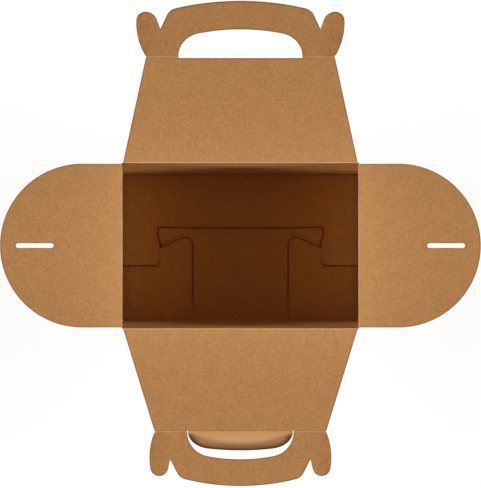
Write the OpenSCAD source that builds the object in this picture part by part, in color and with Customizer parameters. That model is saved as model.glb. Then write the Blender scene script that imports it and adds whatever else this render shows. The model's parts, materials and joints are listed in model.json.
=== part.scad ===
// Gable box folded from one sheet of kraft board, standing open with its roof and end flaps spread.
// The origin is the middle of the base, +X runs along the front to the right and +Y points to the back.

/* [Body] */
// Length of the rim, from one end fold to the other
rim_l = 228.6; // [215:0.2:245]
// Depth of the rim, from the front fold to the back fold
rim_w = 160; // [140:1:170]
// Length of the base, where the leaning end walls start
base_l = 258; // [240:1:290]
// Height of the rim folds above the base
wall_h = 76; // [50:1:120]
// Thickness of the board
board_t = 0.5; // [0.3:0.05:0.8]
// Width of the glued seam tab inside the back wall
seam_w = 16; // [10:1:25]
// Bevel at the two free corners of the seam tab
seam_bevel = 5; // [2:0.5:9]

/* [Bottom lock] */
// Width of the recess in the back bottom flap
recess_w = 176.4; // [150:0.2:200]
// Distance from the middle back to the inner edge of the recess
recess_y = 17; // [15:0.5:30]
// Distance from the middle forward to the lobes beside the recess
lobe_y = 20.8; // [10:0.2:40]
// Corner radius of the lobes
lobe_r = 5; // [2:0.5:10]
// Width of the tongue at its tip, wider than the recess so that it holds
tongue_w = 181; // [155:0.2:206]
// Length of the tongue's tip that lies on the back bottom flap
tongue_lap = 4.6; // [3:0.2:10]
// Corner radius of the tongue's tip
tongue_r = 3; // [1:0.5:4]
// Distance from the front wall to where the front bottom flap narrows
front_shoulder = 35; // [20:1:50]
// Distance between the inner edges of the two end bottom flaps
nose_gap = 103; // [80:1:120]
// Distance from the middle back to the tips of the noses
nose_y = 11.5; // [8:0.5:12]
// Radius of the nose on each end bottom flap
nose_r = 9; // [6:0.5:12]
// Slope of the nose's back edge, degrees
nose_slope = 24; // [15:1:35]
// Width of the end bottom flaps' root left free at the back
end_flap_cut = 50; // [30:1:60]
// Room between a bottom flap and the walls it isn't folded from
bottom_gap = 1; // [0.5:0.1:2]
// Space between two layers of the bottom
layer_gap = 0.15; // [0.1:0.05:0.3]

/* [Roof] */
// Slant length of a roof panel, from the rim fold to the ridge fold
roof_l = 99; // [90:0.5:110]
// Length of the ridge fold
ridge_l = 165; // [150:1:176]
// Distance from a rim fold's end to the corner of the rim
corner_gap = 1.2; // [0.8:0.1:2]
// Space between a fold's round edge and the panel that it turns on
fold_gap = 0.2; // [0.1:0.05:0.4]
// Space between the two handles when the roof is shut
handle_gap = 1.2; // [0.4:0.1:1.6]

/* [Handle] */
// Height of the handle above the ridge fold
handle_h = 50.8; // [44:0.2:60]
// Radius of the handle's bowed top edge
handle_top_r = 225; // [150:5:400]
// Radius of the handle's two shoulders
shoulder_r = 12; // [6:0.5:16]
// Angle of the handle's flanks from upright, degrees
flank_angle = 28; // [20:1:35]
// Distance between the two notches beside the handle
notch_span = 134.4; // [130:0.2:138]
// Height of the notches above the ridge fold
notch_h = 26; // [22:0.2:30]
// Width across both ears at their widest
ear_span = 174.4; // [170:0.2:180]
// Height of the ears above the ridge fold
ear_h = 41.5; // [36:0.5:46]
// Radius of an ear's tip
ear_r = 8.7; // [7:0.1:10]
// Radius of an ear's bulging outer edge
ear_bulge_r = 60; // [50:1:80]

/* [Hand holes] */
// Height of the hand holes above the ridge fold
hole_h = 26; // [20:0.5:30]
// Width of the hand hole in the back handle
back_hole_w = 108.4; // [100:0.2:116]
// Width of the hand hole in the front handle
front_hole_w = 102.6; // [90:0.2:106]
// Radius of the hand holes' bowed top edge
hole_top_r = 170; // [120:5:300]
// Radius of the hand holes' upper corners
hole_corner_r = 24; // [18:0.5:28]
// Width of the cut between the thumb flap and its hole
thumb_cut = 0.6; // [0.4:0.1:1.2]

/* [End flaps] */
// Length of an end flap, from its rim fold to its round tip
flap_l = 116.5; // [112:0.5:130]
// Width of the slot that takes the ears
slot_w = 4.5; // [4.2:0.1:6]
// Room in the slot below the corner of the ridge
slot_room_low = 2; // [1:0.1:5]
// Room in the slot past the notch
slot_room_high = 4.2; // [2:0.1:5]

/* [Rest pose] */
// Rise of the back roof panel above level, degrees
back_roof_angle = 32; // [0:1:60]
// Rise of the back handle above its roof panel's plane, degrees
back_handle_angle = 20.5; // [0:0.5:40]
// Rise of the front roof panel above level, degrees
front_roof_angle = 0.5; // [-10:0.5:30]
// Rise of the front handle above its roof panel's plane, degrees
front_handle_angle = 4.5; // [0:0.5:40]
// Drop of the thumb flap below the front roof panel's plane, degrees
thumb_angle = 30; // [10:1:80]
// Rise of the end flaps above level, degrees
end_flap_angle = 1; // [0:0.5:30]

/* [Hidden] */
$fn = 96;

kraft = "#b08050";
kraft_handle = "#ac7c4f";
kraft_thumb = "#bc8b56";
fold_r = board_t / 2;
fold_room = fold_r + fold_gap;
far = 2 * (rim_l + rim_w);
// A round corner is cut this much fuller, so that it runs cleanly into the edges beside it
corner_fill = 0.01;

// Leaning end walls: half length at the mid-plane for a height z, and the wall's width measured level
end_lean = atan((base_l - rim_l) / 2 / wall_h);
end_wall_x = board_t / cos(end_lean);
function end_x(z) = base_l / 2 - z * tan(end_lean);

// Layers of the bottom, counted up from the base
layer_rise = board_t + layer_gap;
bottom_half_l = base_l / 2 - 3 * layer_rise * tan(end_lean) - end_wall_x / 2 - bottom_gap;
bottom_half_w = rim_w / 2 - fold_r - bottom_gap;

// Ridge of the shut roof, measured from the rim folds
ridge_y = handle_gap / 2 + fold_r;
ridge_rise = sqrt(roof_l ^ 2 - (rim_w / 2 - ridge_y) ^ 2);

// Slot of the end flaps, measured from the rim fold along the flap
slot_start = norm([rim_l - ridge_l, 2 * ridge_rise]) / 2 - slot_room_low;
slot_end = norm([rim_l / 2 - notch_span / 2, ridge_rise + notch_h]) + slot_room_high;

// Ear: its outer edge is one arc through the ridge fold's end, and its round tip lies inside that arc
ear_arc_x = ear_span / 2 - ear_bulge_r;
ear_arc = [ear_arc_x, sqrt(ear_bulge_r ^ 2 - (ridge_l / 2 - ear_arc_x) ^ 2)];
ear_tip_y = ear_h - ear_r;
ear_tip = [ear_arc.x + sqrt((ear_bulge_r - ear_r) ^ 2 - (ear_tip_y - ear_arc.y) ^ 2), ear_tip_y];

// Handle: the shoulder touches the straight flank and the bowed top edge from inside
notch = [notch_span / 2, notch_h];
flank_dir = [-sin(flank_angle), cos(flank_angle)];
flank_in = [-cos(flank_angle), -sin(flank_angle)];
top_arc = [0, handle_h - handle_top_r];
shoulder_from = notch + shoulder_r * flank_in - top_arc;
shoulder_half = shoulder_from * flank_dir;
shoulder_reach = (handle_top_r - shoulder_r) ^ 2 - shoulder_from * shoulder_from;
flank_l = sqrt(shoulder_half ^ 2 + shoulder_reach) - shoulder_half;
shoulder = top_arc + shoulder_from + flank_l * flank_dir;
shoulder_top = top_arc + (shoulder - top_arc) * handle_top_r / (handle_top_r - shoulder_r);

// Where the line from a point touches a circle on its left side
function touch(from, centre, r) =
    let (way = centre - from, turn = atan2(way.y, way.x) + asin(r / norm(way)))
    from + sqrt(way * way - r ^ 2) * [cos(turn), sin(turn)];

// A cut-out or flap with a straight foot, a bowed top edge and round upper corners
module bowed_outline(w, h, top_r, corner_r) {
    corner_x = w / 2 - corner_r;
    corner_y = h - top_r + sqrt((top_r - corner_r) ^ 2 - corner_x ^ 2);
    meet_x = corner_x * top_r / (top_r - corner_r);
    intersection() {
        union() {
            for (side = [-1, 1])
                translate([side * corner_x, corner_y])
                    circle(corner_r + corner_fill);
            intersection() {
                translate([0, h - top_r])
                    circle(top_r, $fn = 360);
                translate([-meet_x, 0])
                    square([2 * meet_x, 2 * h]);
            }
        }
        translate([-w, 0])
            square([2 * w, 2 * h]);
    }
}

// A rectangle with round corners
module round_rect(low, high, r) {
    translate([low.x + r, low.y])
        square([high.x - low.x - 2 * r, high.y - low.y]);
    translate([low.x, low.y + r])
        square([high.x - low.x, high.y - low.y - 2 * r]);
    for (x = [low.x + r, high.x - r], y = [low.y + r, high.y - r])
        translate([x, y])
            circle(r);
}

// A straight slot with round ends, along X
module round_slot(low_x, high_x, w) {
    translate([low_x + w / 2, -w / 2])
        square([high_x - low_x - w, w]);
    for (x = [low_x + w / 2, high_x - w / 2])
        translate([x, 0])
            circle(w / 2);
}

// Board of the given outline, with its mid-plane at height 0
module board() {
    translate([0, 0, -fold_r])
        linear_extrude(board_t)
            children();
}

// Round edge that a panel turns on, along X
module fold_edge(l) {
    rotate([0, 90, 0])
        cylinder(r = fold_r, h = l, center = true, $fn = 32);
}

// Board of a bottom flap, in the given layer
module bottom_layer(n) {
    translate([0, 0, n * layer_rise])
        linear_extrude(board_t)
            children();
}

// Prism between the leaning end walls, taken in by the given amounts
module wall_prism(end_in, side_in, low, high) {
    depth = rim_w + board_t - 2 * side_in;
    translate([0, depth / 2, 0])
        rotate([90, 0, 0])
            linear_extrude(depth)
                polygon([
                    for (p = [[-1, low], [1, low], [1, high], [-1, high]])
                        [p.x * (end_x(p.y) + end_wall_x / 2 - end_in), p.y]
                ]);
}

module walls() {
    top = wall_h - fold_room;
    difference() {
        wall_prism(0, 0, 0, top);
        wall_prism(end_wall_x, board_t, -board_t, wall_h);
    }
}

// Tab folded from the left end wall and glued to the inside of the back wall
module seam_tab() {
    low = 4 * layer_rise;
    high = wall_h - fold_room - layer_rise;
    translate([0, rim_w / 2 - fold_r, 0])
        rotate([90, 0, 0])
            linear_extrude(board_t)
                polygon([
                    [-end_x(low), low],
                    [-end_x(low) + seam_w - seam_bevel, low],
                    [-end_x(low + seam_bevel) + seam_w, low + seam_bevel],
                    [-end_x(high - seam_bevel) + seam_w, high - seam_bevel],
                    [-end_x(high) + seam_w - seam_bevel, high],
                    [-end_x(high), high]
                ]);
}

// Back bottom flap: full length, with a wide recess between two lobes
module back_bottom() {
    bottom_layer(2) {
        translate([-bottom_half_l, recess_y])
            square([2 * bottom_half_l, rim_w / 2 - recess_y]);
        for (side = [0, 1])
            mirror([side, 0])
                round_rect([recess_w / 2, -lobe_y], [bottom_half_l, recess_y + lobe_r], lobe_r);
    }
}

// End bottom flaps: their noses point to the back, over the front flap and under the back flap
module end_bottoms() {
    root_y = bottom_half_w - end_flap_cut;
    nose = [nose_gap / 2 + nose_r, nose_y - nose_r];
    crest = nose + nose_r * [sin(nose_slope), cos(nose_slope)];
    heel_x = recess_w / 2 + lobe_r;
    for (side = [0, 1])
        mirror([side, 0, 0])
            bottom_layer(1) {
                polygon([
                    [base_l / 2 - layer_rise * tan(end_lean), -bottom_half_w],
                    [nose_gap / 2, -bottom_half_w],
                    [nose_gap / 2, nose.y],
                    nose,
                    crest,
                    [heel_x, crest.y - (heel_x - crest.x) * tan(nose_slope)],
                    [base_l / 2 - layer_rise * tan(end_lean), root_y]
                ]);
                translate(nose)
                    circle(nose_r);
            }
}

// Front bottom flap: it lies lowest, and its tongue climbs through the recess onto the back flap
module front_bottom() {
    tip_y = recess_y + tongue_lap;
    climb_end = recess_y - layer_gap;
    climb_start = nose_y + layer_gap;
    lap_z = 3 * layer_rise;
    neck = recess_w / 2 - bottom_gap;
    shoulder_y = -rim_w / 2 + front_shoulder;
    intersection() {
        translate([-base_l / 2, 0, 0])
            rotate([90, 0, 90])
                linear_extrude(base_l)
                    polygon([
                        [-rim_w / 2, 0],
                        [climb_start, 0],
                        [climb_end, lap_z],
                        [tip_y, lap_z],
                        [tip_y, lap_z + board_t],
                        [climb_end - layer_gap, lap_z + board_t],
                        [climb_start - layer_gap, board_t],
                        [-rim_w / 2, board_t]
                    ]);
        linear_extrude(lap_z + 2 * board_t)
            union() {
                polygon([
                    [-bottom_half_l, -rim_w / 2],
                    [bottom_half_l, -rim_w / 2],
                    [neck, shoulder_y],
                    [neck, tip_y - tongue_r],
                    [-neck, tip_y - tongue_r],
                    [-neck, shoulder_y]
                ]);
                round_rect([-tongue_w / 2, recess_y - tongue_r], [tongue_w / 2, tip_y], tongue_r);
            }
    }
}

module box_body() {
    color(kraft) {
        walls();
        seam_tab();
        back_bottom();
        end_bottoms();
        front_bottom();
    }
}

// Roof panel lying level, with its rim fold on the X axis and its ridge fold toward +Y
module roof_panel() {
    foot = rim_l / 2 - corner_gap;
    color(kraft) {
        board()
            polygon([[-foot, 0], [foot, 0], [ridge_l / 2, roof_l], [-ridge_l / 2, roof_l]]);
        fold_edge(2 * foot);
        translate([0, roof_l, 0])
            fold_edge(ridge_l);
    }
}

// One side of the handle's outline: shoulder, flank, notch and ear
module handle_side() {
    translate(shoulder)
        circle(shoulder_r + corner_fill);
    polygon([
        [0, 0],
        [notch.x, 0],
        notch,
        notch + flank_l * flank_dir,
        shoulder_top,
        [0, shoulder_top.y]
    ]);
    intersection() {
        translate(ear_arc)
            circle(ear_bulge_r, $fn = 180);
        polygon([
            [0, 0],
            [ear_span, 0],
            2 * ear_tip - ear_arc,
            ear_tip,
            touch(notch, ear_tip, ear_r),
            notch,
            [0, notch.y]
        ]);
    }
    translate(ear_tip)
        circle(ear_r + corner_fill);
}

// The handle's whole outline: a bowed top edge between its two sides
module handle_outline() {
    intersection() {
        translate(top_arc)
            circle(handle_top_r, $fn = 360);
        translate([-shoulder_top.x, 0])
            square([2 * shoulder_top.x, 2 * handle_h]);
    }
    for (side = [0, 1])
        mirror([side, 0])
            handle_side();
}

// Handle lying level, with its ridge fold on the X axis
module handle(hole_w) {
    color(kraft_handle)
        board()
            difference() {
                handle_outline();
                bowed_outline(hole_w, hole_h, hole_top_r, hole_corner_r);
                translate([-far / 2, -far])
                    square([far, far + fold_room]);
            }
}

// Places what is drawn on a roof panel's rim fold, and then on its ridge fold
module on_rim_fold(roof_angle) {
    translate([0, rim_w / 2, wall_h])
        rotate([roof_angle, 0, 0])
            children();
}

module on_ridge_fold(roof_angle, angle) {
    on_rim_fold(roof_angle)
        translate([0, roof_l, 0])
            rotate([angle, 0, 0])
                children();
}

module back_roof_panel() {
    on_rim_fold(back_roof_angle)
        roof_panel();
}

module back_handle() {
    on_ridge_fold(back_roof_angle, back_handle_angle)
        handle(back_hole_w);
}

module front_roof_panel() {
    rotate([0, 0, 180])
        on_rim_fold(front_roof_angle)
            roof_panel();
}

module front_handle() {
    rotate([0, 0, 180])
        on_ridge_fold(front_roof_angle, front_handle_angle)
            handle(front_hole_w);
}

// Piece cut from the front hand hole, bent away along the ridge fold
module thumb_flap() {
    thumb_w = front_hole_w - 2 * thumb_cut;
    color(kraft_thumb)
        rotate([0, 0, 180])
            on_ridge_fold(front_roof_angle, -thumb_angle)
                board()
                    difference() {
                        bowed_outline(thumb_w, hole_h - thumb_cut, hole_top_r, hole_corner_r);
                        translate([-far / 2, -far])
                            square([far, far + fold_room]);
                    }
}

// End flap lying level, with its rim fold on the Y axis and its round tip toward +X
module end_flap() {
    half_w = rim_w / 2 - corner_gap;
    color(kraft) {
        board()
            difference() {
                union() {
                    translate([0, -half_w])
                        square([flap_l - half_w, 2 * half_w]);
                    translate([flap_l - half_w, 0])
                        circle(half_w, $fn = 180);
                }
                translate([-far, -far / 2])
                    square([far, far]);
                round_slot(slot_start, slot_end, slot_w);
            }
        rotate([0, 0, 90])
            fold_edge(2 * half_w);
    }
}

module on_end_fold() {
    translate([rim_l / 2, 0, wall_h])
        rotate([0, -end_flap_angle, 0])
            children();
}

module left_end_flap() {
    rotate([0, 0, 180])
        on_end_fold()
            end_flap();
}

module right_end_flap() {
    on_end_fold()
        end_flap();
}

box_body();
back_roof_panel();
back_handle();
front_roof_panel();
front_handle();
thumb_flap();
left_end_flap();
right_end_flap();
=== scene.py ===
import json
import bpy
import numpy as np
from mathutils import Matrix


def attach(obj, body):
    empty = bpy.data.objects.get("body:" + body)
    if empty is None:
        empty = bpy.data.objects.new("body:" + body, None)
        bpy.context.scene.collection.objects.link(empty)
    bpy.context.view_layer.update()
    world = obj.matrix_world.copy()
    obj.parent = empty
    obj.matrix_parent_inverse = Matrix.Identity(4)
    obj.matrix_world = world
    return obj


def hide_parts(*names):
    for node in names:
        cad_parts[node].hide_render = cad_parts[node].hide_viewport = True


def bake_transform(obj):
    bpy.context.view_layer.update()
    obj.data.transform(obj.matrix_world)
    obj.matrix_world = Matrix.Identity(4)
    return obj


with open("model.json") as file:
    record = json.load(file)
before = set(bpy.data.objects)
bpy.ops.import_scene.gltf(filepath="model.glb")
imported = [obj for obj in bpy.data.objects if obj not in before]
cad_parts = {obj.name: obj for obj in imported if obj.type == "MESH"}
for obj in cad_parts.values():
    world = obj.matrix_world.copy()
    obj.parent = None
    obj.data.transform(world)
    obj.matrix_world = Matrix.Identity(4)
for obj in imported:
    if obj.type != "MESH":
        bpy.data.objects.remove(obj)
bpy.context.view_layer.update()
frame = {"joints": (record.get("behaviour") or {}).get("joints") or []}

# Walls: one strip of brown kraft paperboard, creased at four upright corners and glued into a tube.
# The long walls stand upright and bulge a little, and the end walls lean in toward the rim.
# Lengths are in mm. CREASE is half the width of a fold, and HEEL_R the bend at the foot of a wall.
MM = 0.001
BOARD = 0.5
fold = {j["name"]: np.array(j["pos_m"]) / MM for j in frame["joints"]}
RIM_X, RIM_Y, RIM_Z = fold["right_end_fold"][0], fold["back_roof_fold"][1], fold["back_roof_fold"][2]
BASE_X = 129.0
LEAN = (BASE_X - RIM_X) / RIM_Z
CREASE = 1.2
WALL_BULGE, CORNER_R = 1.0, 0.9
HEEL_R, WALL_FOOT, WALL_ROWS = 1.0, 2.5, 18
EDGE_R, EDGE_ANGLE, WELDS_PER_MM = 0.12, np.radians(55), 2000


def linear(hex_colour):
    """An sRGB hex colour as linear RGBA: each channel is (c + 0.055) / 1.055 to the power 2.4, or c / 12.92
    near black."""
    c = np.array([int(hex_colour[i:i + 2], 16) for i in (1, 3, 5)]) / 255
    return (*np.where(c > 0.04045, ((c + 0.055) / 1.055) ** 2.4, c / 12.92), 1.0)


def add(tree, kind, sockets=None, **settings):
    """Adds one node, sets its properties, and sets or links its input sockets, given by name or number."""
    made = tree.nodes.new("ShaderNode" + kind)
    for key, value in settings.items():
        setattr(made, key, value)
    for key, value in (sockets or {}).items():
        if isinstance(value, bpy.types.NodeSocket):
            tree.links.new(value, made.inputs[key])
        else:
            made.inputs[key].default_value = value
    return made


def new_material(name):
    """An empty node material and the tree that its shader goes into."""
    material = bpy.data.materials.new(name)
    material.use_nodes = True
    material.node_tree.nodes.clear()
    return material, material.node_tree


# Unbleached kraft liner: a matt brown paper of long fibres. The eye sees a cloudy formation about 12 mm
# wide, a mottle of 2 to 3 mm and short fibres. Painted light lies on top: the paper is paler near the rim
# folds and on the thumb flap, and darker toward the free ends of the flaps, on the handles and on the ears.
# A darker border along die-cut edges is a crushed edge, widened on the bottom flaps, the tongue and the thumb
# flap into painted shade of the gaps and shadows there. A paler line on folds is partly broken fibres and
# partly a painted highlight. Real fibres are about 0.03 mm wide; they are drawn 0.8 mm wide so that they show
# at all.
CLOUD_W, MOTTLE_W, FIBRE_W = 12 * MM, 2.6 * MM, 0.8 * MM
PLAIN_TONE, PAINTED_LIGHT_TONE, CLOUD_TONE, MOTTLE_TONE, FIBRE_TONE = -0.335, 0.246, 0.28, 0.64, 0.45
CRUSH_AND_SHADE, GLOSS = 0.7, 0.04
kraft_liner, tree = new_material("kraft_liner")
sheet = add(tree, "UVMap", uv_map="sheet").outputs["UV"]
along_grain = add(tree, "Mapping", {"Vector": sheet, "Scale": (0.22, 1.0, 1.0)}).outputs["Vector"]
cloud = add(tree, "TexNoise", {"Vector": sheet, "Scale": 1 / CLOUD_W, "Detail": 2.0}).outputs["Fac"]
mottle = add(tree, "TexNoise", {"Vector": sheet, "Scale": 1 / MOTTLE_W, "Detail": 2.0}).outputs["Fac"]
fibre = add(tree, "TexNoise", {"Vector": along_grain, "Scale": 1 / FIBRE_W, "Detail": 2.0}).outputs["Fac"]
# The mesh's painted light and shade: where it is higher, the paper is paler.
painted_light = add(tree, "Attribute", attribute_name="painted_light").outputs["Fac"]
tone = add(tree, "Math", {0: painted_light, 1: PAINTED_LIGHT_TONE, 2: PLAIN_TONE}, operation="MULTIPLY_ADD").outputs[0]
tone = add(tree, "Math", {0: cloud, 1: CLOUD_TONE, 2: tone}, operation="MULTIPLY_ADD").outputs[0]
tone = add(tree, "Math", {0: mottle, 1: MOTTLE_TONE, 2: tone}, operation="MULTIPLY_ADD").outputs[0]
tone = add(tree, "Math", {0: fibre, 1: FIBRE_TONE, 2: tone}, operation="MULTIPLY_ADD",
           use_clamp=True).outputs[0]
paper = add(tree, "Mix", {0: tone, 6: linear("#96693b"), 7: linear("#cc9c67")}, data_type="RGBA").outputs[2]
# Near cut edges the paper darkens: a crushed border, and where the mark is strong a painted shade of gaps and
# shadows.
near_cut = add(tree, "Attribute", attribute_name="near_cut").outputs["Fac"]
crush_and_shade = add(tree, "Math", {0: near_cut, 1: CRUSH_AND_SHADE}, operation="MULTIPLY", use_clamp=True).outputs[0]
paper = add(tree, "Mix", {0: crush_and_shade, 6: paper, 7: linear("#5d3d1e")}, data_type="RGBA").outputs[2]
# A paler colour along folds, partly broken fibres and partly a painted highlight; on the thumb flap a painted
# band of light.
fibres_and_highlight = add(tree, "Attribute", attribute_name="fibres_and_highlight").outputs["Fac"]
paper = add(tree, "Mix", {0: fibres_and_highlight, 6: paper, 7: linear("#e3bd92")}, data_type="RGBA").outputs[2]
matt = add(tree, "MapRange", {"Value": mottle, "To Min": 0.84, "To Max": 0.98}).outputs[0]
relief = add(tree, "Math", {0: fibre, 1: mottle}, operation="ADD").outputs[0]
bump = add(tree, "Bump", {"Height": relief, "Strength": 0.25, "Distance": 0.06 * MM}).outputs["Normal"]
shader = add(tree, "BsdfPrincipled", {"Base Color": paper, "Roughness": matt, "Normal": bump,
                                      "Specular IOR Level": GLOSS})
add(tree, "OutputMaterial", {"Surface": shader.outputs[0]})

# Board core at a die-cut edge: the grey-brown plies between the two liners, crushed and slightly fuzzy.
board_core, tree = new_material("board_core")
spot = add(tree, "TexCoord").outputs["Object"]
fuzz = add(tree, "TexNoise", {"Vector": spot, "Scale": 1 / FIBRE_W, "Detail": 2.0}).outputs["Fac"]
core = add(tree, "Mix", {0: fuzz, 6: linear("#74512f"), 7: linear("#9a7045")}, data_type="RGBA").outputs[2]
shader = add(tree, "BsdfPrincipled", {"Base Color": core, "Roughness": 0.95, "Specular IOR Level": GLOSS})
add(tree, "OutputMaterial", {"Surface": shader.outputs[0]})


def patch(points, flat, cut=0.0, fibres_and_highlight=0.0, painted_light=0.0):
    """A grid of mid-plane points in mm, each with its flat sheet coordinates, its darkening near a cut edge
    (a crushed border, and painted shade where it is strong), its pale line of broken fibres and painted
    highlight, and its painted light. A closed grid repeats its first row at its end."""
    marks = np.stack(np.broadcast_arrays(cut, fibres_and_highlight, painted_light, points[..., 0])[:3], -1)
    return np.concatenate([points, flat, marks], -1)


def board_piece(name, patches):
    """One piece of board. Every patch is a grid of quads between neighbouring points, points that patches
    share are welded, and the mid-plane then gets half the board's thickness on each side and a rounded cut
    edge."""
    quads, first = [], 0
    for grid in patches:
        n = first + np.arange(grid[..., 0].size).reshape(grid.shape[:2])
        quads.append(np.stack([n[:-1, :-1], n[1:, :-1], n[1:, 1:], n[:-1, 1:]], -1).reshape(-1, 4))
        first += n.size
    rows = np.concatenate([grid.reshape(-1, 8) for grid in patches])
    quads = np.concatenate(quads)
    same_place = np.round(rows[:, :3] * WELDS_PER_MM).astype(int)
    _, keep, weld = np.unique(same_place, axis=0, return_index=True, return_inverse=True)
    weld = weld.reshape(-1)
    pinched = weld[quads] == weld[np.roll(quads, -1, 1)]
    whole = quads[pinched.sum(1) == 0]
    one = pinched.sum(1) == 1
    triangles = quads[one][~pinched[one]].reshape(-1, 3)
    mesh = bpy.data.meshes.new(name)
    mesh.from_pydata(rows[keep, :3] * MM, [], weld[whole].tolist() + weld[triangles].tolist())
    corners = np.concatenate([whole.ravel(), triangles.ravel()])
    sheet_uv = (rows[corners, 3:5] * MM).astype(np.float32).ravel()
    mesh.uv_layers.new(name="sheet").data.foreach_set("uv", sheet_uv)
    for column, title in enumerate(("near_cut", "fibres_and_highlight", "painted_light"), 5):
        values = rows[keep, column].astype(np.float32)
        mesh.attributes.new(title, "FLOAT", "POINT").data.foreach_set("value", values)
    mesh.shade_smooth()
    mesh.materials.append(kraft_liner)
    mesh.materials.append(board_core)
    piece = bpy.data.objects.new(name, mesh)
    bpy.context.scene.collection.objects.link(piece)
    ply = piece.modifiers.new("ply", "SOLIDIFY")
    ply.thickness, ply.offset, ply.material_offset_rim = BOARD * MM, 0.0, 1
    ply.use_even_offset = ply.use_quality_normals = True
    crush = piece.modifiers.new("crush", "BEVEL")
    crush.width, crush.segments, crush.angle_limit = EDGE_R * MM, 2, EDGE_ANGLE
    crush.harden_normals = True
    return piece


def run_length(path):
    """The length along a broken line from its start to each of its points."""
    return np.concatenate([[0], np.cumsum(np.linalg.norm(np.diff(path, axis=0), axis=1))])


def bulge(x, z):
    """How far a long wall stands out: a half sine wave up its height, falling as a parabola toward its
    ends."""
    return WALL_BULGE * np.sin(np.pi * np.clip(z / RIM_Z, 0, 1)) * (1 - (x / BASE_X) ** 2)


def wall_loops(inset, z):
    """Round the tube at each height z: a rectangle taken in by inset, with round corners and points along its
    sides."""
    half_x = (BASE_X - LEAN * z - inset - CORNER_R)[:, None]
    half_y = (RIM_Y - inset - CORNER_R)[:, None]
    turn = np.radians(np.linspace(0, 90, 6))
    corners = []
    for quarter, (sx, sy) in enumerate(((1, 1), (-1, 1), (-1, -1), (1, -1))):
        a = turn + quarter * np.pi / 2
        corners.append(np.stack([sx * half_x + CORNER_R * np.cos(a), sy * half_y + CORNER_R * np.sin(a)], -1))
    share = np.linspace(0, 1, 26)[1:-1, None]
    sides = [c[:, -1:] * (1 - share) + n[:, :1] * share for c, n in zip(corners, corners[1:] + corners[:1])]
    loop = np.concatenate([half for pair in zip(corners, sides) for half in pair], 1)
    loop[..., 1] += np.sign(loop[..., 1]) * bulge(loop[..., 0], z[:, None])
    return np.concatenate([loop, np.broadcast_to(z[:, None, None], loop.shape[:2] + (1,))], -1)


heel = np.radians(np.linspace(0, 90, 7))
inset = np.concatenate([HEEL_R - HEEL_R * np.sin(heel), np.zeros(WALL_ROWS)])
height = np.concatenate([BOARD / 2 + HEEL_R - HEEL_R * np.cos(heel),
                         np.linspace(WALL_FOOT, RIM_Z - CREASE, WALL_ROWS)])
tube = wall_loops(inset, height).transpose(1, 0, 2)
tube = np.concatenate([tube, tube[:1]])
round_tube = run_length(tube[:, len(heel) + 1])
flat = np.stack(np.broadcast_arrays(round_tube[:, None], height), -1)
walls = board_piece("walls", [patch(tube, flat)])
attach(walls, "box")
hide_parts("box_body")

# Seam tab: a narrow strip beyond the left end wall, with bevelled ends that clear the folds.
# It is glued flat to the inside of the back wall and closes the tube.
SEAM_W, SEAM_BEVEL = 16.0, 5.0
SEAM_LOW, SEAM_HIGH = 2.6, RIM_Z - CREASE - 0.2
SEAM_START, SEAM_DEPTH = 0.35, 0.53
CUT_BORDER = 1.4


def spread(*knots, step=1.0):
    """Numbers that run through the given knots in order, evenly spaced between each two, about a step
    apart."""
    return np.concatenate([np.linspace(a, b, max(2, int(abs(b - a) / step) + 1))[:-1]
                           for a, b in zip(knots, knots[1:])] + [knots[-1:]])


def ease(count):
    """Shares from 0 to 1 that lie closer together at both ends: a third of even steps and two thirds of a
    cosine's."""
    even = np.linspace(0, 1, count)
    return even / 3 + (1 - np.cos(np.pi * even)) / 3


def at(x, y):
    """Points of the flat sheet from their x and their y, either of which may be one number for all."""
    return np.stack(np.broadcast_arrays(x, y), -1)


def ruled(left, right, share):
    """The straight line from each point of one rail to its partner on the other, divided at the given
    shares."""
    return left[:, None] + (right - left)[:, None] * share[:, None]


def closeness(distance, border=CUT_BORDER):
    """How close a point is to a cut edge: 1 on it, falling in a straight line to 0 at the border's width."""
    return np.clip(1 - distance / border, 0, 1)


def rail_cut(grid, first, last, border=CUT_BORDER):
    """Closeness to the two rails of a ruled grid, each counted where its flag is 1."""
    from_first, from_last = (np.linalg.norm(grid - grid[:, k:k + 1], axis=-1) for k in (0, grid.shape[1] - 1))
    flag = [np.broadcast_to(np.asarray(f, float), grid.shape[:1])[:, None] for f in (first, last)]
    return np.maximum(closeness(from_first, border) * flag[0], closeness(from_last, border) * flag[1])


z = spread(SEAM_LOW, SEAM_LOW + SEAM_BEVEL, SEAM_HIGH - SEAM_BEVEL, SEAM_HIGH, step=2.0)
seam_in = -(BASE_X - LEAN * z) + SEAM_START
seam_out = seam_in + SEAM_W - np.maximum(0, SEAM_BEVEL - np.minimum(z - SEAM_LOW, SEAM_HIGH - z))
flat = ruled(at(seam_in, z), at(seam_out, z), ease(20))
seam_y = RIM_Y - SEAM_DEPTH + bulge(flat[..., 0], flat[..., 1])
points = np.stack([flat[..., 0], seam_y, flat[..., 1]], -1)
seam_tab = board_piece("seam_tab", [patch(points, flat, rail_cut(flat, 0, 1))])
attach(seam_tab, "box")

# End bottom flaps: folded in first from the end walls. Each has a round nose that points to the back,
# and lies over the front flap and under the back flap. Cut edges on the bottom are darkened in a wide band:
# a crushed border and a painted shade of the gaps between the layers.
LAYER, GAP_SHADE, GAP_SHADE_W = 0.65, 1.6, 2.3
NOSE_GAP, NOSE_R, NOSE_Y, NOSE_SLOPE = 51.5, 9.0, 11.5, np.radians(24)
BOTTOM_Y, ROOT_X, ROOT_Y, HEEL_X, NOSE_SHADE_FADE = 78.7, BASE_X - 0.55, 28.7, 93.2, 32.0
nose = np.array([NOSE_GAP + NOSE_R, NOSE_Y - NOSE_R])
crest = nose + NOSE_R * np.array([np.sin(NOSE_SLOPE), np.cos(NOSE_SLOPE)])
turn = np.radians(np.linspace(180, 90 - np.degrees(NOSE_SLOPE), 40))
round_nose = at(nose[0] + NOSE_R * np.cos(turn), nose[1] + NOSE_R * np.sin(turn))
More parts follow.
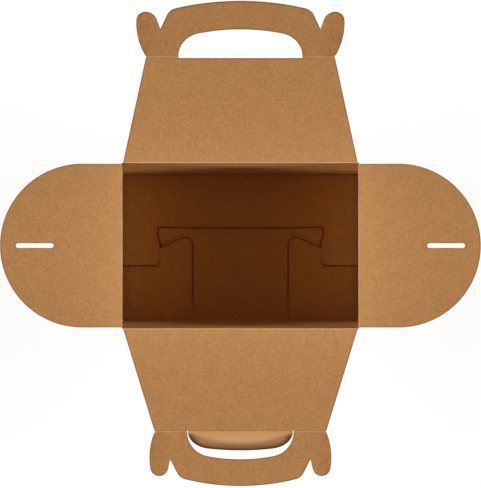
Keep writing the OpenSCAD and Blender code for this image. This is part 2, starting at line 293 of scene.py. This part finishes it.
x = spread(crest[0], HEEL_X, ROOT_X)[1:]
heel_y = crest[1] - (HEEL_X - crest[0]) * np.tan(NOSE_SLOPE)
straight = np.interp(x, [crest[0], HEEL_X, ROOT_X], [crest[1], heel_y, ROOT_Y])
edge = np.concatenate([round_nose, at(x, straight)])
root = at(np.linspace(edge[0, 0], edge[-1, 0], len(edge)), -BOTTOM_Y)
flat = ruled(root, edge, ease(60))
# On the nose side the painted gap shade fades out toward the front wall.
nose_shade_share = np.clip((flat[..., 1] + BOTTOM_Y) / NOSE_SHADE_FADE, 0, 1)
nose_gap_shade = closeness(flat[..., 0] - NOSE_GAP, GAP_SHADE_W) * nose_shade_share
cut = GAP_SHADE * np.maximum(rail_cut(flat, 0, 1, GAP_SHADE_W), nose_gap_shade)
for side, name in ((-1, "left_bottom_flap"), (1, "right_bottom_flap")):
    points = np.stack([side * flat[..., 0], flat[..., 1], np.full(cut.shape, LAYER + BOARD / 2)], -1)[::side]
    end_bottom = board_piece(name, [patch(points, flat[::side], cut[::side])])
    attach(end_bottom, "box")

# Back bottom flap: full length, folded in next, with a wide recess between two lobes.
# The lobes curl up a little toward the end walls.
RECESS_X, RECESS_Y, LOBE_Y, LOBE_R, BOTTOM_X = 88.2, 17.0, 20.8, 5.0, 128.2
LOBE_CURL, CURL_L, NEAR = 1.6, 38, 0.05
turn = np.radians(np.linspace(180, 270, 20))
lobe = at(RECESS_X + LOBE_R + LOBE_R * np.cos(turn), -LOBE_Y + LOBE_R + LOBE_R * np.sin(turn))
x = spread(0, RECESS_X - NEAR, step=1.5)
y = spread(RECESS_Y - NEAR, -LOBE_Y + LOBE_R + NEAR)
lobe_x = spread(RECESS_X + LOBE_R + 1, BOTTOM_X)
edge = np.concatenate([at(x, RECESS_Y), at(RECESS_X, y), lobe, at(lobe_x, -LOBE_Y)])
wall_x = np.interp(np.arange(len(edge)), [0, len(x), len(edge) - 1], [0, RECESS_X + 2, BOTTOM_X])
flat = ruled(at(wall_x, RIM_Y - HEEL_R), edge, ease(60))
flat = np.concatenate([flat[:0:-1] * [-1, 1], flat])
to_front = np.clip((RECESS_Y - flat[..., 1]) / CURL_L, 0, 1)
to_end = np.clip((abs(flat[..., 0]) - RECESS_X) / CURL_L, 0, 1)
curl = LOBE_CURL * to_front ** 2 * to_end
points = np.stack([flat[..., 0], flat[..., 1], 2 * LAYER + BOARD / 2 + curl], -1)
# Painted shade of the gaps between the layers along its cut edges, over a crushed border.
cut = GAP_SHADE * rail_cut(flat, 0, 1, GAP_SHADE_W)
back_bottom = board_piece("back_bottom_flap", [patch(points, flat, cut)])
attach(back_bottom, "box")

# Front bottom flap: folded in last and lowest. Its tongue climbs through the recess just past the noses,
# and its wider tip lies on the back flap's edge and lobes, which locks the bottom.
FRONT_X, NECK_X, SHOULDER_Y = 127.2, 87.2, -45.0
TONGUE_X, TONGUE_R, TIP_Y, TIP_HOLLOW = 90.7, 3.0, 21.6, 1.3
CLIMB_Y, CLIMB_L, FLARE, TONGUE_SHADE_W = NOSE_Y + 0.2, 3.6, (1.0, 12.0), 2.8
corner = np.radians(np.linspace(8, 90, 14))
y = np.concatenate([spread(-RIM_Y + HEEL_R, SHOULDER_Y, 0, step=2.0)[:-1],
                    spread(0, TIP_Y - TONGUE_R, step=0.2), TIP_Y - TONGUE_R + TONGUE_R * np.sin(corner)])
into_corner = np.clip(y - TIP_Y + TONGUE_R, 0, TONGUE_R)
half_w = np.interp(y, [-RIM_Y, SHOULDER_Y, *FLARE], [FRONT_X, NECK_X, NECK_X, TONGUE_X])
half_w = half_w - TONGUE_R + np.sqrt(TONGUE_R ** 2 - into_corner ** 2)
flat = ruled(at(half_w, y), at(-half_w, y), ease(120))
# Painted shade: the tongue's flared sides and its tip are darkened in a wide band where they lie on the back
# flap.
tongue_shade = np.maximum(rail_cut(flat, y > FLARE[0], y > FLARE[0], TONGUE_SHADE_W),
                    closeness(TIP_Y - flat[..., 1], TONGUE_SHADE_W))
cut = GAP_SHADE * np.maximum(rail_cut(flat, 1, 1, GAP_SHADE_W), tongue_shade)
climb_from = CLIMB_Y - np.maximum(0, np.abs(flat[..., 0]) - crest[0]) * np.tan(NOSE_SLOPE)
climb = np.clip((flat[..., 1] - climb_from) / CLIMB_L, 0, 1)
rise = 3 * LAYER * climb ** 2 * (3 - 2 * climb)
to_tip = np.clip((flat[..., 1] - CLIMB_Y) / (TIP_Y - CLIMB_Y), 0, 1)
hollow = TIP_HOLLOW * (flat[..., 0] / TONGUE_X) ** 2 * to_tip
points = np.stack([flat[..., 0], flat[..., 1] + hollow, BOARD / 2 + rise], -1)
front_bottom = board_piece("front_bottom_flap", [patch(points, flat, cut)])
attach(front_bottom, "box")

# Roof panels: two tapering flaps of the same sheet on the long walls, spread open.
# They narrow from the rim fold to the ridge fold, where the handles start.
ROOF_L, FOOT_X, RIDGE_X, ROOF_BOW = 99.0, RIM_X - 1.2, 82.5, 0.5
BACK_ROOF, FRONT_ROOF = np.radians(32), np.radians(0.5)
BACK_HANDLE, FRONT_HANDLE = BACK_ROOF + np.radians(20.5), FRONT_ROOF + np.radians(4.5)
BACK_HOLE_X, FRONT_HOLE_X = 54.2, 51.3
LIGHT_FALL_L, EASING = 42, 1.4


def painted_light_fall(distance):
    """How much painted light the paper gets at a distance from a rim fold, paler near the fold: e to the
    power of minus the distance over the fall length."""
    return np.exp(-distance / LIGHT_FALL_L)


def outward(side, angle):
    """Unit vectors of a panel on the back (1) or front (-1): along its fold, away from it, and normal."""
    along, out = np.array([side, 0, 0]), np.array([0, side * np.cos(angle), np.sin(angle)])
    return along, out, np.cross(along, out)


def lay(flat, hinge, axes, height=0.0):
    """Flat sheet coordinates laid in a panel's plane: hinge + x along the fold + y away from it + height on
    the normal."""
    return hinge + flat[..., :1] * axes[0] + flat[..., 1:] * axes[1] + np.multiply.outer(height, axes[2])


roof_end = ROOF_L - CREASE
foot_u = BACK_HOLE_X / np.interp(roof_end, [0, ROOF_L], [FOOT_X, RIDGE_X])
beside = foot_u + (1 - foot_u) * np.sin(np.linspace(0, EASING, 30)) / np.sin(EASING)
u = np.concatenate([-beside[::-1], foot_u * np.linspace(-1, 1, 80)[1:-1], beside])
at_hole = np.abs(u) <= foot_u + 1e-9
s = np.concatenate([np.linspace(CREASE, roof_end - 1.5, 40), spread(roof_end - 1.2, roof_end, step=0.3)])
half = np.interp(s, [0, ROOF_L], [FOOT_X, RIDGE_X])
flat = at(u[:, None] * half, s)
side_cut = closeness(half - np.abs(flat[..., 0]))
hole_cut = closeness(s[-1] - flat[..., 1]) * at_hole[:, None]
bow = ROOF_BOW * np.sin(np.pi * flat[..., 1] / ROOF_L) * np.cos(np.pi * u / 2)[:, None]
# Painted light: the roof paper is paler near the rim fold and darker toward the ridge.
for side, name, angle, cut in ((1, "back_roof", BACK_ROOF, np.maximum(side_cut, hole_cut)),
                               (-1, "front_roof", FRONT_ROOF, side_cut)):
    points = lay(flat, fold[name + "_fold"], outward(side, angle), bow)
    roof = board_piece(name + "_panel_board", [patch(points, flat, cut, painted_light=painted_light_fall(s))])
    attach(roof, name)
    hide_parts(name + "_panel")

# Handles: the upper part of each roof flap, an arch round the hand hole with a V-notch and a round ear at
# each side. The ears go through the slots of the end flaps and the notches hold them there.
HANDLE_H, TOP_R, SHOULDER_R, FLANK = 50.8, 225.0, 12.0, np.radians(28)
NOTCH = np.array([67.2, 26.0])
EAR_X, EAR_H, EAR_R, EAR_BULGE, EAR_ROOT = 87.2, 41.5, 8.7, 60.0, 65.5
HOLE_H, HOLE_TOP_R, HOLE_R = 26.0, 170.0, 24.0
# The handles' level of painted light, and the painted shade that deepens out on the ears.
HANDLE_LIGHT, EAR_SHADE = 0.05, 0.55


def arc(centre, r, start, stop, step=0.8):
    """Points on a circle from one angle to another, about a step apart."""
    a = np.linspace(start, stop, max(4, int(abs(stop - start) * r / step)))
    return at(centre[0] + r * np.cos(a), centre[1] + r * np.sin(a))


def angle_of(v):
    """The angle of a flat vector from the x axis."""
    return np.arctan2(v[1], v[0])


def along_path(path, share):
    """Points at the given shares of a broken line's length."""
    run = run_length(path)
    return np.stack([np.interp(share * run[-1], run, path[:, k]) for k in (0, 1)], -1)


def bowed_half(half_w, h, foot):
    """Right half of a hole or flap with a bowed top, from its foot to its middle: a corner arc and a flat top
    arc that touches it."""
    corner = np.array([half_w - HOLE_R, 0.0])
    corner[1] = h - HOLE_TOP_R + np.sqrt((HOLE_TOP_R - HOLE_R) ** 2 - corner[0] ** 2)
    top = np.array([0, h - HOLE_TOP_R])
    meet = angle_of(corner - top)
    return np.concatenate([arc(corner, HOLE_R, np.arcsin((foot - corner[1]) / HOLE_R), meet),
                           arc(top, HOLE_TOP_R, meet, np.pi / 2)[1:]])


flank_way = np.array([-np.sin(FLANK), np.cos(FLANK)])
top = np.array([0, HANDLE_H - TOP_R])
to_shoulder = NOTCH + SHOULDER_R * np.array([-np.cos(FLANK), -np.sin(FLANK)]) - top
half_way = to_shoulder @ flank_way
flank_l = np.sqrt(half_way ** 2 + (TOP_R - SHOULDER_R) ** 2 - to_shoulder @ to_shoulder) - half_way
shoulder = top + to_shoulder + flank_l * flank_way
meet = angle_of(shoulder - top)
arch_edge = np.concatenate([[NOTCH], arc(shoulder, SHOULDER_R, FLANK, meet),
                            arc(top, TOP_R, meet, np.pi / 2)[1:]])
bulge_c = np.array([EAR_X - EAR_BULGE, 0.0])
bulge_c[1] = np.sqrt(EAR_BULGE ** 2 - (RIDGE_X - bulge_c[0]) ** 2)
ear_tip = np.array([0.0, EAR_H - EAR_R])
ear_tip[0] = bulge_c[0] + np.sqrt((EAR_BULGE - EAR_R) ** 2 - (ear_tip[1] - bulge_c[1]) ** 2)
ear_way, ear_from = ear_tip - NOTCH, angle_of(ear_tip - bulge_c)
ear_end = angle_of(ear_way) + np.arcsin(EAR_R / np.linalg.norm(ear_way)) + np.pi / 2
ear_edge = np.concatenate([arc(bulge_c, EAR_BULGE, np.arcsin((CREASE - bulge_c[1]) / EAR_BULGE), ear_from),
                           arc(ear_tip, EAR_R, ear_from, ear_end)[1:], [NOTCH]])
ear_edge = along_path(ear_edge, np.linspace(0, 1, 110))
ear_foot = np.array([EAR_ROOT, CREASE])
share = ease(40)
ear_seam = ear_foot + (NOTCH - ear_foot) * share[:, None]
foot_line = at(np.linspace(ear_edge[0, 0] - EAR_R, ear_foot[0], len(ear_edge)), CREASE)
ear = ruled(foot_line, ear_edge, share)
ear_cut = rail_cut(ear, 0, 1)
arch_top = along_path(arch_edge, np.linspace(0, 1, 90))
outer = np.concatenate([ear_seam, arch_top[1:]])
run = run_length(outer)
for side, name, body, angle, hole_x in ((1, "back_handle", "back_grip", BACK_HANDLE, BACK_HOLE_X),
                                        (-1, "front_handle", "front_grip", FRONT_HANDLE, FRONT_HOLE_X)):
    inner = along_path(bowed_half(hole_x, HOLE_H, CREASE), run / run[-1])
    arch = ruled(inner, outer, ease(30))
    arch_cut = rail_cut(arch, 1, np.arange(len(outer)) >= len(ear_seam) - 1)
    hinge, axes = fold[name + "_fold"], outward(side, angle)
    patches = []
    for hand in (1, -1):
        for flat, cut in ((arch, arch_cut), (ear, ear_cut)):
            grid, mark = (flat * [hand, 1])[::hand], cut[::hand]
            # Painted shade: the handles are darker than the roof near its rim, and darker still out on the
            # ears.
            pale = HANDLE_LIGHT - EAR_SHADE * np.clip((np.abs(grid[..., 0]) - NOTCH[0]) / (EAR_X - NOTCH[0]), 0, 1)
            patches.append(patch(lay(grid, hinge, axes), grid, mark, painted_light=pale))
    handle = board_piece(name + "_board", patches)
    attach(handle, body)
    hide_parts(name)

# Thumb flap: the piece cut from the front hand hole, still held along the ridge fold. It was pushed down
# through the hole, so it bends on from its root to its free edge. Its border is darkened, wider toward the
# ends: a crushed cut edge and a painted shadow of the hand hole's rim. Its board is painted paler all over
# and paler still across the middle: painted light.
THUMB_CUT, THUMB_DROP, THUMB_BEND, THUMB_FOOT = 0.6, np.radians(22), 0.012, 8.0
THUMB_SHADE_W, THUMB_SHADE_MORE, THUMB_SHADE_FROM, THUMB_SHADE_DARK = 4.5, 4.5, 6, 1.6
THUMB_LIGHT, BAND_LIGHT, BAND_AT, BAND_W = 1.9, 0.35, 13, 6
half = bowed_half(FRONT_HOLE_X - THUMB_CUT, HOLE_H - THUMB_CUT, CREASE)
edge = along_path(np.concatenate([half[:-1], half[::-1] * [-1, 1]]), np.linspace(0, 1, 160))
root = at(np.linspace(edge[0, 0] - THUMB_FOOT, edge[-1, 0] + THUMB_FOOT, len(edge)), CREASE)
flat = ruled(root, edge, ease(30))
drop = THUMB_DROP + THUMB_BEND * (flat[..., 1] - CREASE)
reach = CREASE * np.cos(THUMB_DROP) + (np.sin(drop) - np.sin(THUMB_DROP)) / THUMB_BEND
fall = CREASE * np.sin(THUMB_DROP) + (np.cos(THUMB_DROP) - np.cos(drop)) / THUMB_BEND
points = fold["thumb_flap_fold"] - np.stack([flat[..., 0], reach, fall], -1)
# Painted shadow of the hole's rim along the free edge, over a crushed cut edge, and a painted band of light
# across the middle.
shade_width = THUMB_SHADE_W + THUMB_SHADE_MORE * (flat[..., 0] / FRONT_HOLE_X) ** 2
border = rail_cut(flat, 0, 1, shade_width) * np.clip((flat[..., 1] - CREASE) / THUMB_SHADE_FROM, 0, 1)
light_band = BAND_LIGHT * np.exp(-((flat[..., 1] - BAND_AT) / BAND_W) ** 2) * (1 - border)
thumb = board_piece("thumb_flap_board",
                    [patch(points, flat, THUMB_SHADE_DARK * border, light_band, THUMB_LIGHT)])
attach(thumb, "thumb")
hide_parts("thumb_flap")

# End flaps: a round-ended flap on each end wall, with a narrow slot along its middle near the tip.
# Shut, the slots go over the ears of both handles.
FLAP_L, FLAP_Y, FLAP_SAG = 116.5, RIM_Y - 1.2, 0.6
SLOT = (65.4, 101.8)
SLOT_R = 2.25
END_FLAP = np.radians(1)
END_LIGHT, END_SIDE_SHADE = 1.4, 0.35
slot_mid, slot_half = sum(SLOT) / 2, (SLOT[1] - SLOT[0]) / 2 - SLOT_R
bend_x = FLAP_L - FLAP_Y
side_run = at(spread(CREASE, bend_x), FLAP_Y)
rim_run = at(CREASE, np.linspace(-FLAP_Y, FLAP_Y, 160))
round_end = arc((bend_x, 0), FLAP_Y, -np.pi / 2, np.pi / 2, step=1.0)
edge = np.concatenate([(side_run * [1, -1])[:-1], round_end[:-1], side_run[:0:-1], rim_run[::-1]])
is_cut = np.arange(len(edge)) <= len(edge) - len(rim_run)
way = np.arctan2(edge[:, 1], edge[:, 0] - slot_mid)
c, s = np.abs(np.cos(way)), np.abs(np.sin(way))
round_part = slot_half * c + np.sqrt(np.maximum(0, SLOT_R ** 2 - (slot_half * s) ** 2))
reach = np.where(SLOT_R * c <= slot_half * s, SLOT_R / np.maximum(s, 1e-9), round_part)
slot = at(slot_mid + reach * np.cos(way), reach * np.sin(way))
flat = ruled(slot, edge, ease(44))
cut = rail_cut(flat, 1, is_cut)
# Painted light and shade: the flap is paler near its rim fold and darker toward its sides.
pale = END_LIGHT * painted_light_fall(flat[..., 0]) - END_SIDE_SHADE * (flat[..., 1] / FLAP_Y) ** 2
across = np.cos(np.pi * flat[..., 1] / (2 * FLAP_Y))
sag = -FLAP_SAG * np.sin(np.pi * np.clip(flat[..., 0] / FLAP_L, 0, 1)) * across
turned = flat[..., ::-1] * [-1, 1]
for side, name in ((1, "right_end"), (-1, "left_end")):
    out = np.array([side * np.cos(END_FLAP), 0, np.sin(END_FLAP)])
    along = np.array([0, -side, 0])
    points = lay(turned, fold[name + "_fold"], (along, out, np.cross(along, out)), sag)
    flap = board_piece(name + "_flap_board", [patch(points, turned, cut, painted_light=pale)])
    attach(flap, name)
    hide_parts(name + "_flap")

# Creases: at every fold the board is pressed thin and rolls from one panel into the next. A paler line
# along the fold is partly broken fibres and partly a painted highlight, most of all on the rim folds of the
# roof; the end creases also carry painted shade on their wall side.
RIM_PALE_LINE, END_PALE_LINE, RIDGE_PALE_LINE, THUMB_PALE_LINE = 1.0, 0.1, 0.3, 0.2
END_CREASE_SHADE, FOLD_GAP = 0.9, 0.1
down = np.array([0, 0, -1.0])


def crease(name, slot, bodies, joint, low, high, back_way, out_way, along, broken_and_highlight, crease_shade=0.0,
           painted_light=(0.0, 0.0)):
    """A strip rolled over a fold: the cubic curve from a point on one panel to a point on the other whose two
    inner control points lie on the fold line. Its pale line of broken fibres and painted highlight is a bell
    curve across it, its first half carries painted shade, and its painted light runs in a straight line from
    the first panel's to the last one's."""
    hinge = fold[joint]
    first, last = hinge + CREASE * back_way, hinge + CREASE * out_way
    t = np.linspace(0, 1, 21)[:, None]
    roll = (1 - t) ** 3 * first + 3 * t * (1 - t) * hinge + t ** 3 * last
    x = spread(low, high, step=4.0)
    points = roll[None] + x[:, None, None] * along
    flat = at(x[:, None], run_length(roll))
    pale_line = broken_and_highlight * np.exp(-((t[:, 0] - 0.55) / 0.22) ** 2)
    shaded_half = crease_shade * np.clip(1.2 - 1.6 * t[:, 0], 0, 1)
    pale = painted_light[0] + (painted_light[1] - painted_light[0]) * t[:, 0]
    strip = board_piece(name, [patch(points, flat, shaded_half, pale_line, pale)])
    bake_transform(strip)


for side, name, angle in ((1, "back_roof", BACK_ROOF), (-1, "front_roof", FRONT_ROOF)):
    along, out, _ = outward(side, angle)
    crease(name + "_crease", "kraft_board", ("box", name), name + "_fold", -FOOT_X, FOOT_X, down, out, along,
           RIM_PALE_LINE, painted_light=(0.0, 1.0))
for side, name in ((1, "right_end"), (-1, "left_end")):
    out = np.array([side * np.cos(END_FLAP), 0, np.sin(END_FLAP)])
    lean = np.array([side * LEAN, 0, -1]) / np.hypot(LEAN, 1)
    crease(name + "_crease", "kraft_board", ("box", name), name + "_fold", -FLAP_Y, FLAP_Y, lean, out,
           np.array([0, -side, 0]), END_PALE_LINE, END_CREASE_SHADE, painted_light=(0.0, END_LIGHT))
for side, name, roof, grip, angle, steep, hole_x in (
        (1, "back_handle", "back_roof", "back_grip", BACK_ROOF, BACK_HANDLE, BACK_HOLE_X),
        (-1, "front_handle", "front_roof", "front_grip", FRONT_ROOF, FRONT_HANDLE, FRONT_HOLE_X)):
    along, out, _ = outward(side, angle)
    for hand, place in ((1, "right"), (-1, "left")):
        ends = sorted((hand * (hole_x - FOLD_GAP), hand * RIDGE_X))
        crease(f"{name}_{place}_crease", "kraft_handle", (roof, grip), name + "_fold", *ends, -out,
               outward(side, steep)[1], along, RIDGE_PALE_LINE, painted_light=(0.0, HANDLE_LIGHT))
along, out, _ = outward(-1, FRONT_ROOF)
thumb_x = FRONT_HOLE_X - THUMB_CUT - FOLD_GAP
crease("thumb_crease", "kraft_thumb", ("front_roof", "thumb"), "thumb_flap_fold", -thumb_x, thumb_x,
       -out, outward(-1, -THUMB_DROP)[1], along, THUMB_PALE_LINE, painted_light=(0.0, THUMB_LIGHT))

# Studio: a white floor, and two wide soft lights low at the left and the right with a weak fill from all
# round. The low light lies flat over the spread flaps and leaves the deep inside of the box dark. That gets
# mostly the fill from overhead, which is a room's warm ceiling light.
FLOOR_HALF, FLOOR_Z, FLOOR_WHITE, FLOOR_SHADE = 6, -0.0004, 0.9, 0.12
SIDE_LIGHT, FILL_LIGHT, BEAM, FORWARD = 53.7, 0.19, 12.0, np.radians(3)
BAND_LOW, BAND_HIGH, CEILING = (0.13, 0.21), (0.35, 0.27), (0.45, 0.75)
WHITE = (1, 1, 1, 1)


def background_ray(tree):
    """1 on rays that should meet a white background: from the camera, mirrored, or through a clear thing."""
    seen = add(tree, "LightPath").outputs
    direct = add(tree, "Math", {0: seen["Is Camera Ray"], 1: seen["Is Glossy Ray"]}, operation="MAXIMUM")
    return add(tree, "Math", {0: direct.outputs[0], 1: seen["Is Transmission Ray"]},
               operation="MAXIMUM").outputs[0]


floor_mesh = bpy.data.meshes.new("floor")
floor_corners = [(x * FLOOR_HALF, y * FLOOR_HALF, FLOOR_Z) for x, y in ((-1, -1), (1, -1), (1, 1), (-1, 1))]
floor_mesh.from_pydata(floor_corners, [], [(0, 1, 2, 3)])
floor = bpy.data.objects.new("floor", floor_mesh)
bpy.context.scene.collection.objects.link(floor)

# White studio floor: it shows white where the box doesn't stand, and keeps a faint shadow round the box.
# Under the box's footprint the white glow is left out, a painted shadow that keeps the floor dark under it.
# As a source of bounced light it is a plain grey, so that the board is lit from above and not from below.
white_floor, tree = new_material("white_floor")
place = add(tree, "SeparateXYZ", {0: add(tree, "TexCoord").outputs["Object"]}).outputs
in_x = add(tree, "Math", {0: place["X"], 1: 0.0, 2: BASE_X * MM}, operation="COMPARE").outputs[0]
in_y = add(tree, "Math", {0: place["Y"], 1: 0.0, 2: RIM_Y * MM}, operation="COMPARE").outputs[0]
under_box = add(tree, "Math", {0: in_x, 1: in_y}, operation="MULTIPLY").outputs[0]
open_floor = add(tree, "Math", {0: under_box, 1: -FLOOR_WHITE, 2: FLOOR_WHITE},
                 operation="MULTIPLY_ADD").outputs[0]
glow = add(tree, "Emission", {"Strength": open_floor}).outputs[0]
shade = add(tree, "BsdfDiffuse", {"Color": (FLOOR_SHADE, FLOOR_SHADE, FLOOR_SHADE, 1)}).outputs[0]
bright = add(tree, "AddShader", {0: glow, 1: shade}).outputs[0]
pale = add(tree, "BsdfDiffuse", {"Color": linear("#909090")}).outputs[0]
surface = add(tree, "MixShader", {0: background_ray(tree), 1: pale, 2: bright}).outputs[0]
add(tree, "OutputMaterial", {"Surface": surface})
floor_mesh.materials.append(white_floor)

world = bpy.data.worlds.new("studio")
world.use_nodes = True
tree = world.node_tree
tree.nodes.clear()
way = add(tree, "SeparateXYZ", {0: add(tree, "TexCoord").outputs["Generated"]}).outputs
rise, fall, overhead = (add(tree, "MapRange", {"Value": way["Z"], "From Min": start, "From Max": stop},
                            interpolation_type="SMOOTHSTEP").outputs[0]
                        for start, stop in (BAND_LOW, BAND_HIGH, CEILING))
low_band = add(tree, "Math", {0: rise, 1: fall}, operation="MULTIPLY").outputs[0]
level = add(tree, "CombineXYZ", {"X": way["X"], "Y": way["Y"]}).outputs[0]
level = add(tree, "VectorMath", {0: level}, operation="NORMALIZE").outputs[0]
level = add(tree, "SeparateXYZ", {0: level}).outputs
sideways = add(tree, "Math", {0: level["X"]}, operation="ABSOLUTE").outputs[0]
sideways = add(tree, "Math", {0: level["Y"], 1: -np.sin(FORWARD), 2: sideways},
               operation="MULTIPLY_ADD").outputs[0]
sideways = add(tree, "Math", {0: sideways, 1: BEAM}, operation="POWER").outputs[0]
softbox = add(tree, "Math", {0: low_band, 1: sideways}, operation="MULTIPLY").outputs[0]
power = add(tree, "Math", {0: softbox, 1: SIDE_LIGHT, 2: FILL_LIGHT}, operation="MULTIPLY_ADD").outputs[0]
hue = add(tree, "Mix", {0: overhead, 6: WHITE, 7: linear("#ffc489")}, data_type="RGBA").outputs[2]
light = add(tree, "Background", {"Color": hue, "Strength": power}).outputs[0]
paper_white = add(tree, "Background", {"Color": WHITE, "Strength": 1.0}).outputs[0]
sky = add(tree, "MixShader", {0: background_ray(tree), 1: light, 2: paper_white}).outputs[0]
add(tree, "OutputWorld", {"Surface": sky})
bpy.context.scene.world = world

camera = bpy.data.objects.new("camera", bpy.data.cameras.new("camera"))
bpy.context.scene.collection.objects.link(camera)
camera.location = (0.0, -0.0139, 0.6422)
camera.data.lens, camera.data.sensor_width = 43.34, 36.0
camera.data.shift_x, camera.data.shift_y = 0.0002, 0.0329
bpy.context.scene.camera = camera
bpy.context.scene.view_settings.view_transform = "Standard"
